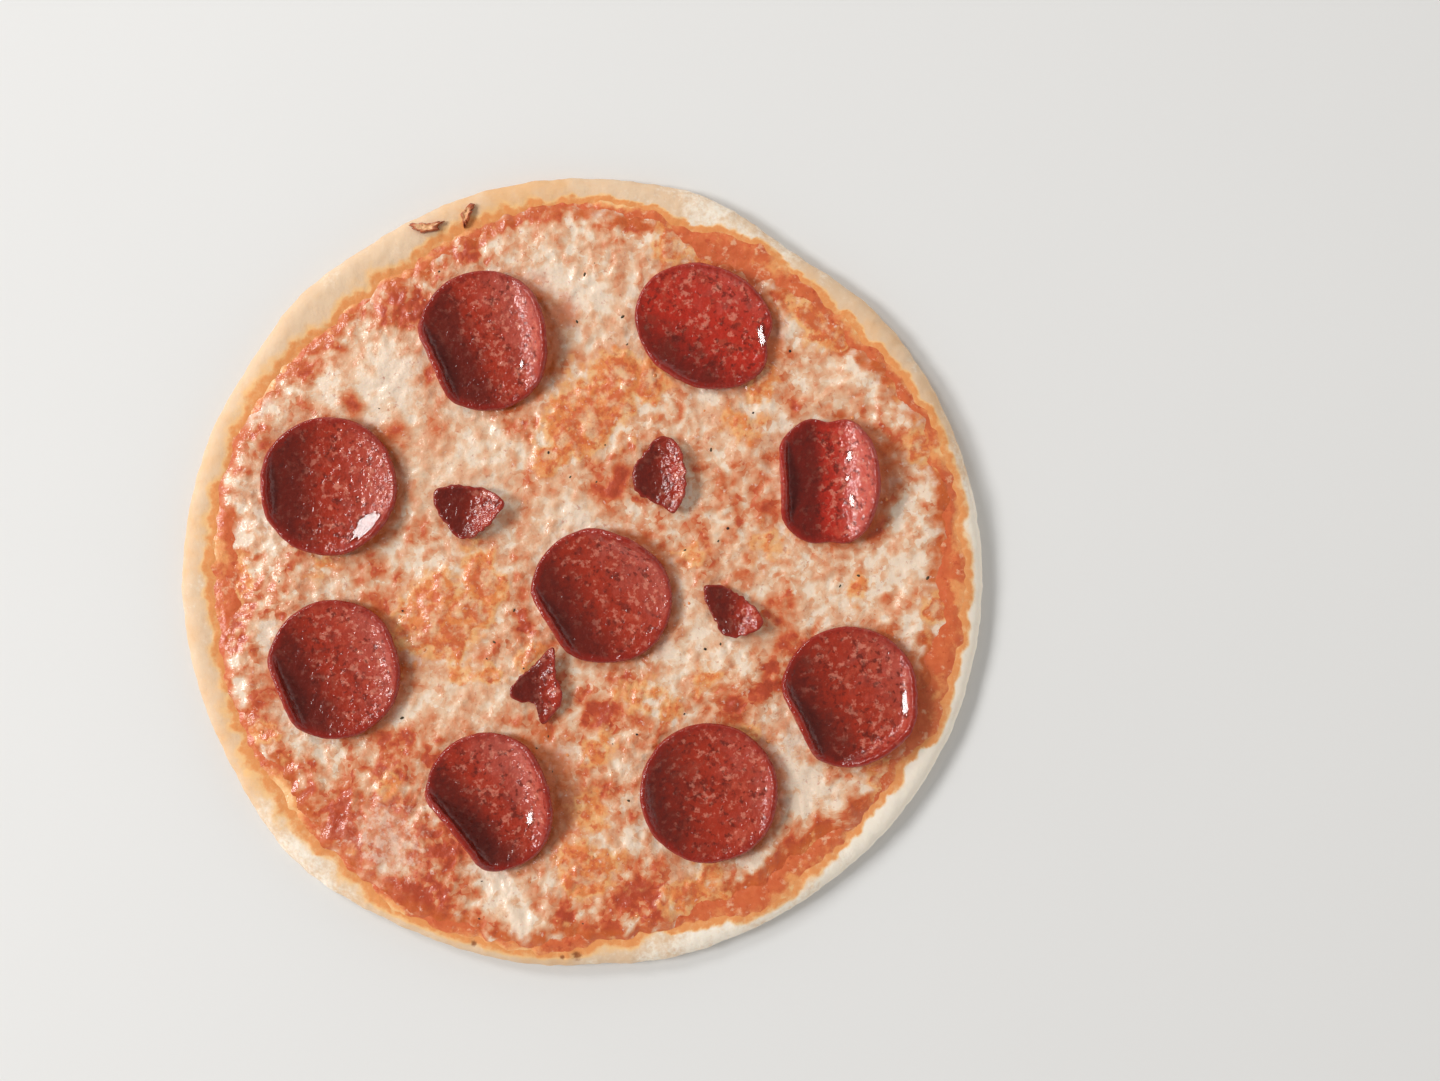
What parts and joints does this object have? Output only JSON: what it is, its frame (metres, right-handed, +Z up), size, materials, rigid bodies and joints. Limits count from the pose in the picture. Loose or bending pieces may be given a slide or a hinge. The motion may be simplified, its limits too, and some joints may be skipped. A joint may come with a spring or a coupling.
{
  "type": "pepperoni pizza",
  "caption": "Whole uncut pepperoni pizza: thin pale crust with a low rim, tomato sauce, melted browned cheese, cupped pepperoni slices and torn pepperoni scraps.",
  "frame": {"origin": "middle of the flat underside of the crust", "axes": "+Z up out of the toppings, +X to the right and +Y to the top of the picture, which looks straight down"},
  "size_m": [0.2561, 0.2519, 0.0195],
  "materials": {
    "crust": "matt baked dough, pale cream with golden patches",
    "sauce": "moist orange-red tomato sauce",
    "cheese": "melted cheese, cream mottled with orange sauce and toasted spots",
    "pepperoni": "oily dark red cured sausage with fine fat flecks"
  },
  "bodies": {
    "root": {"crust": "crust", "sauce": "sauce", "cheese": "cheese", "pepperoni_slice_1": "pepperoni", "pepperoni_slice_2": "pepperoni", "pepperoni_slice_3": "pepperoni", "pepperoni_slice_4": "pepperoni", "pepperoni_slice_5": "pepperoni", "pepperoni_slice_6": "pepperoni", "pepperoni_slice_7": "pepperoni", "pepperoni_slice_8": "pepperoni", "pepperoni_slice_9": "pepperoni", "pepperoni_scrap_1": "pepperoni", "pepperoni_scrap_2": "pepperoni", "pepperoni_scrap_3": "pepperoni", "pepperoni_scrap_4": "pepperoni", "toasted_shred_1": "cheese", "toasted_shred_2": "cheese"}
  },
  "joints": []
}
